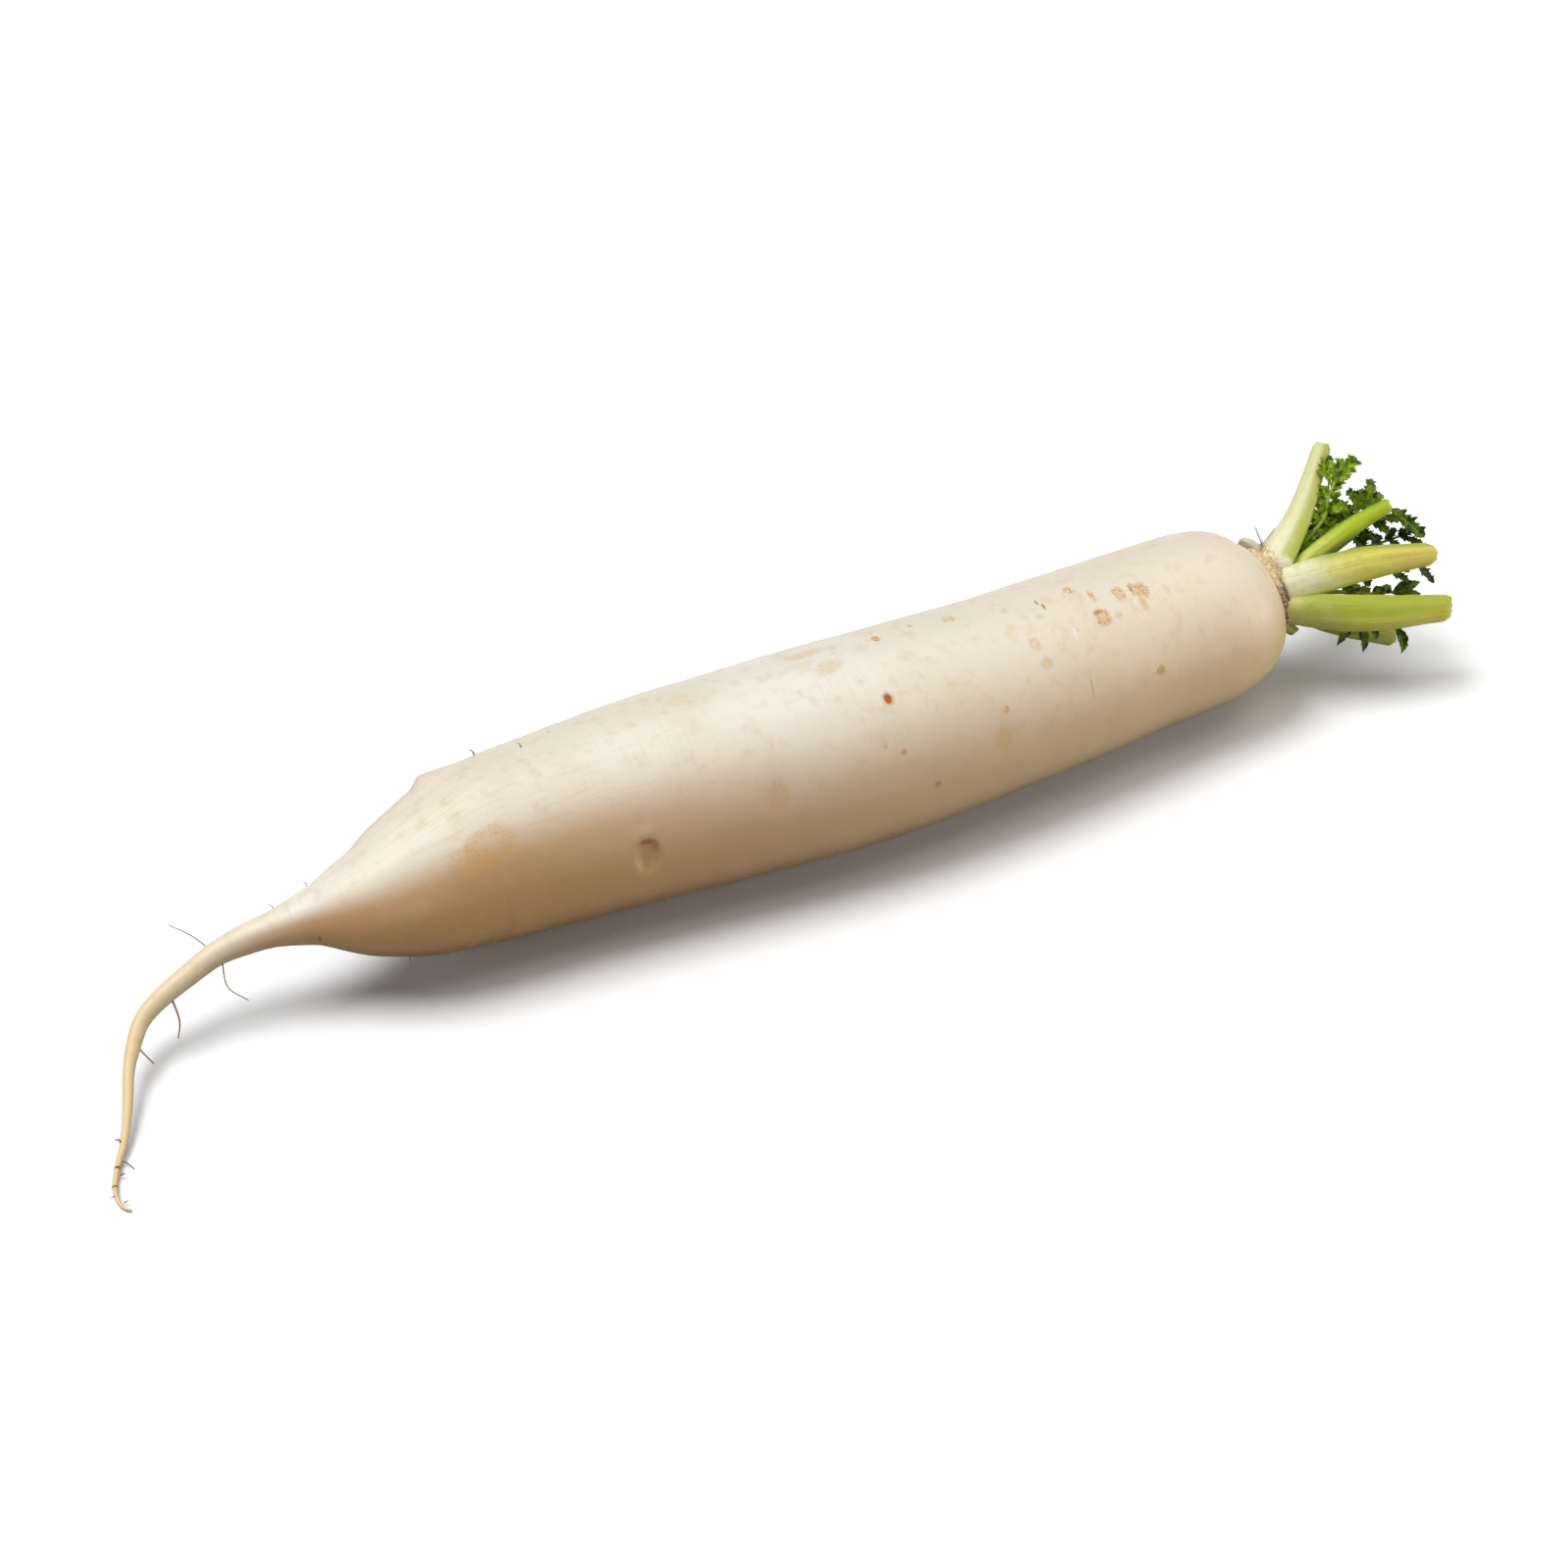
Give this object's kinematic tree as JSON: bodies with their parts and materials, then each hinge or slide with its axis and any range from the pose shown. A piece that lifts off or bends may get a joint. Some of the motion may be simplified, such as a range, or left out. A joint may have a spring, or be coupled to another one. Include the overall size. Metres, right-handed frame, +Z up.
{
  "type": "daikon radish",
  "caption": "Whole white daikon radish lying on its side, with a thin bent tail, trimmed leaf stalks and young toothed leaves at the crown.",
  "frame": {"origin": "on the surface it lies on, under the middle of the whole radish", "axes": "+X along the root towards the crown and leaves, +Y to the far side, +Z up"},
  "size_m": [0.5138, 0.1022, 0.0708],
  "materials": {
    "root_skin": "smooth moist skin, ivory white with faint tan marks",
    "stem_scars": "dry fibrous tan and brown leaf scars",
    "leaf_stalk": "smooth juicy stalk, white at its base and yellow-green above",
    "young_leaf": "matt green leaf with pale ribs"
  },
  "bodies": {
    "root": {"taproot": "root_skin", "crown_stem": "stem_scars", "stalk_top": "leaf_stalk", "stalk_front_upper": "leaf_stalk", "stalk_front_lower": "leaf_stalk", "stalk_slim": "leaf_stalk", "stalk_bottom": "leaf_stalk", "stalk_back_upper": "leaf_stalk", "stalk_back": "leaf_stalk", "stub_front": "leaf_stalk", "stub_back": "leaf_stalk", "young_leaf_tall": "young_leaf", "young_leaf_middle": "young_leaf", "young_leaf_curled": "young_leaf", "young_leaf_long": "young_leaf", "young_leaf_under": "young_leaf", "young_leaf_behind": "young_leaf", "young_leaf_front": "young_leaf", "young_leaf_low": "young_leaf"}
  },
  "joints": []
}
